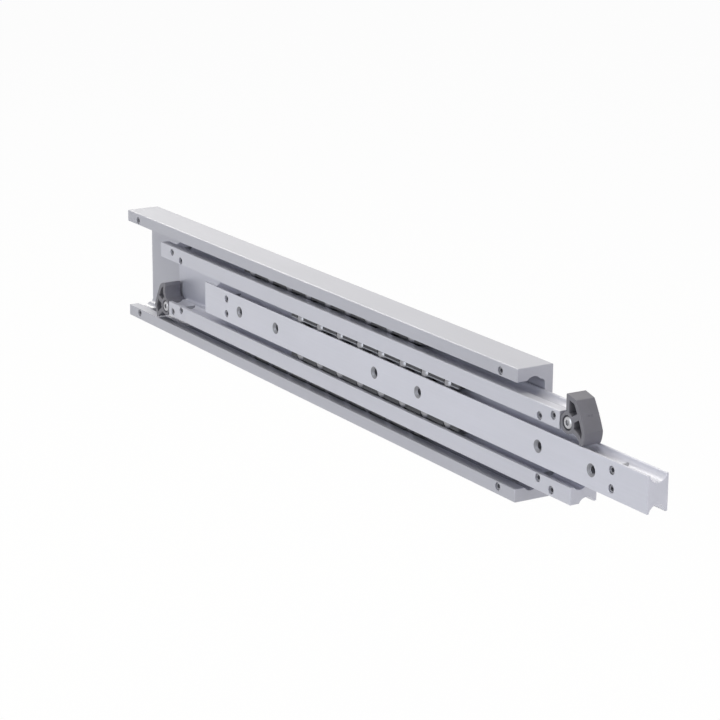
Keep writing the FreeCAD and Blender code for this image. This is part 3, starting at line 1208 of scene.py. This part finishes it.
@dataclass(frozen=True)
class Softbox:
    """One square soft lamp: its place, the point it faces, its side in metres and its watts."""

    name: str
    place: Point
    target: Point
    size: float
    power: float
    tint: Colour = WHITE
    mirrored: bool = True

    def hang(self) -> None:
        """Add the lamp to the scene, turned to its target."""
        data = bpy.data.lights.new(self.name, "AREA")
        data.shape = "SQUARE"
        data.size = self.size
        data.energy = self.power
        data.color = self.tint
        lamp = bpy.data.objects.new(self.name, data)
        bpy.context.scene.collection.objects.link(lamp)
        lamp.visible_glossy = self.mirrored
        lamp.location = self.place
        aim = Vector(self.target) - Vector(self.place)
        lamp.rotation_euler = aim.to_track_quat("-Z", "Y").to_euler()


@dataclass
class Studio:
    """White floor, plain soft lamps and a world that looks white behind the part."""

    floor_drop: float = 0.30
    floor_half: float = 12.0
    world_light: float = 0.15
    softboxes: tuple[Softbox, ...] = (
        Softbox("top_softbox", place=(-0.30, -0.05, 1.25), target=(0.0, -0.02, 0.0),
                size=1.5, power=20.2, tint=WARM_WHITE, mirrored=False),
        Softbox("front_softbox", place=(0.42, -1.42, 0.40), target=(0.08, 0.0, 0.0),
                size=0.9, power=6.2, tint=COOL_WHITE),
        Softbox("right_softbox", place=(1.5, -0.1, 0.35), target=(0.2, 0.0, 0.0),
                size=0.8, power=5.0),
        Softbox("edge_softbox", place=(-2.50, 0.36, 1.68), target=(0.0, -0.02, 0.04),
                size=0.9, power=16.0, tint=WARM_WHITE))

    def build(self) -> None:
        """Set the stage."""
        scene = bpy.context.scene
        scene.view_settings.view_transform = "Standard"
        Bench.deselect()
        bpy.ops.mesh.primitive_plane_add(size=2 * self.floor_half,
                                         location=(0.0, 0.0, -self.floor_drop))
        floor = bpy.context.object
        floor.name = "studio_floor"
        floor.data.materials.append(StudioWhite("studio_white").build())
        self._world(scene)
        for softbox in self.softboxes:
            softbox.hang()

    def _world(self, scene: bpy.types.Scene) -> None:
        """White to the camera and to reflections, dimmer as light.

        Args:
            scene: The scene.
        """
        world = bpy.data.worlds.new("studio_world")
        scene.world = world
        recipe = Recipe(world)
        strength = recipe.seen() * (1.0 - self.world_light) + self.world_light
        light = recipe.node("ShaderNodeBackground", None, {"Color": WHITE, "Strength": strength})
        recipe.node("ShaderNodeOutputWorld", None, {"Surface": light})


@dataclass(frozen=True)
class ProductCamera:
    """The photograph's viewpoint, with its turn about Z, its tilt and its roll."""

    place: Point = (1.30886, -0.77964, 0.40589)
    azimuth: float = 58.462
    elevation: float = -15.559
    roll: float = 0.42
    lens: float = 119.08
    sensor: float = 36.0
    clip_near: float = 0.05
    clip_far: float = 60.0

    def build(self) -> None:
        """Make the camera and use it."""
        turn, tilt, roll = map(math.radians, (self.azimuth, self.elevation, self.roll))
        ahead = Vector((-math.sin(turn) * math.cos(tilt), math.cos(turn) * math.cos(tilt),
                        math.sin(tilt)))
        right = ahead.cross(Vector((0.0, 0.0, 1.0))).normalized()
        up = right.cross(ahead)
        across = right * math.cos(roll) + up * math.sin(roll)
        upward = up * math.cos(roll) - right * math.sin(roll)
        data = bpy.data.cameras.new("product_camera")
        data.lens = self.lens
        data.sensor_width = self.sensor
        data.clip_start = self.clip_near
        data.clip_end = self.clip_far
        camera = bpy.data.objects.new("product_camera", data)
        bpy.context.scene.collection.objects.link(camera)
        axes = Matrix((across, upward, -ahead)).transposed().to_4x4()
        camera.matrix_world = Matrix.Translation(self.place) @ axes
        bpy.context.scene.camera = camera


def main() -> None:
    """Build the dressed slide in order."""
    logging.basicConfig(level=logging.INFO, format="%(name)s: %(message)s")
    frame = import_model()
    dresser = Dresser(frame)
    screw = BrightSteel("bright_zinc_screws", colour=(0.53, 0.53, 0.55),
                        shadow=(0.40, 0.40, 0.42), roughness=0.32).build()
    # Grub screw steel painted dark as painted shade: the screws sit recessed across the races
    grub = BrightSteel("zinc_grub_screws", colour=(0.36, 0.36, 0.39),
                       shadow=(0.25, 0.25, 0.28), metallic=0.55, roughness=0.40).build()
    # Ball steel painted dark as painted shade: the balls sit in the shaded gaps between the rails
    polished = BrightSteel("polished_balls", colour=(0.32, 0.32, 0.34),
                           shadow=(0.26, 0.26, 0.28), roughness=0.36, spread=0.10).build()
    bush = BrightSteel("ground_bushes", roughness=0.3).build()
    black = MouldedNylon("cage_nylon", light=(0.100, 0.100, 0.110), dark=(0.066, 0.066, 0.073))
    # Inner cages: the same nylon with a painted highlight along the front edge
    highlighted_cage = replace(black, name="edged_cage_nylon", edge_depth=-21.8 * MM, edge_height=12.15 * MM)
    grey = MouldedNylon("rocker_nylon", light=(0.216, 0.212, 0.245),
                        dark=(0.171, 0.168, 0.194)).build()
    Rails(dresser).build()
    StopScrews(dresser, grub).build()
    BallRows(dresser, polished).build()
    Cages(dresser, {Rail.OUTER: black.build(), Rail.INNER: highlighted_cage.build()}).build()
    Rockers(dresser, grey).build()
    RockerPivots(dresser, screw, bush).build()
    Studio().build()
    ProductCamera().build()
    LOG.info("%d dressed pieces", dresser.count)


if __name__ == "__main__":
    main()
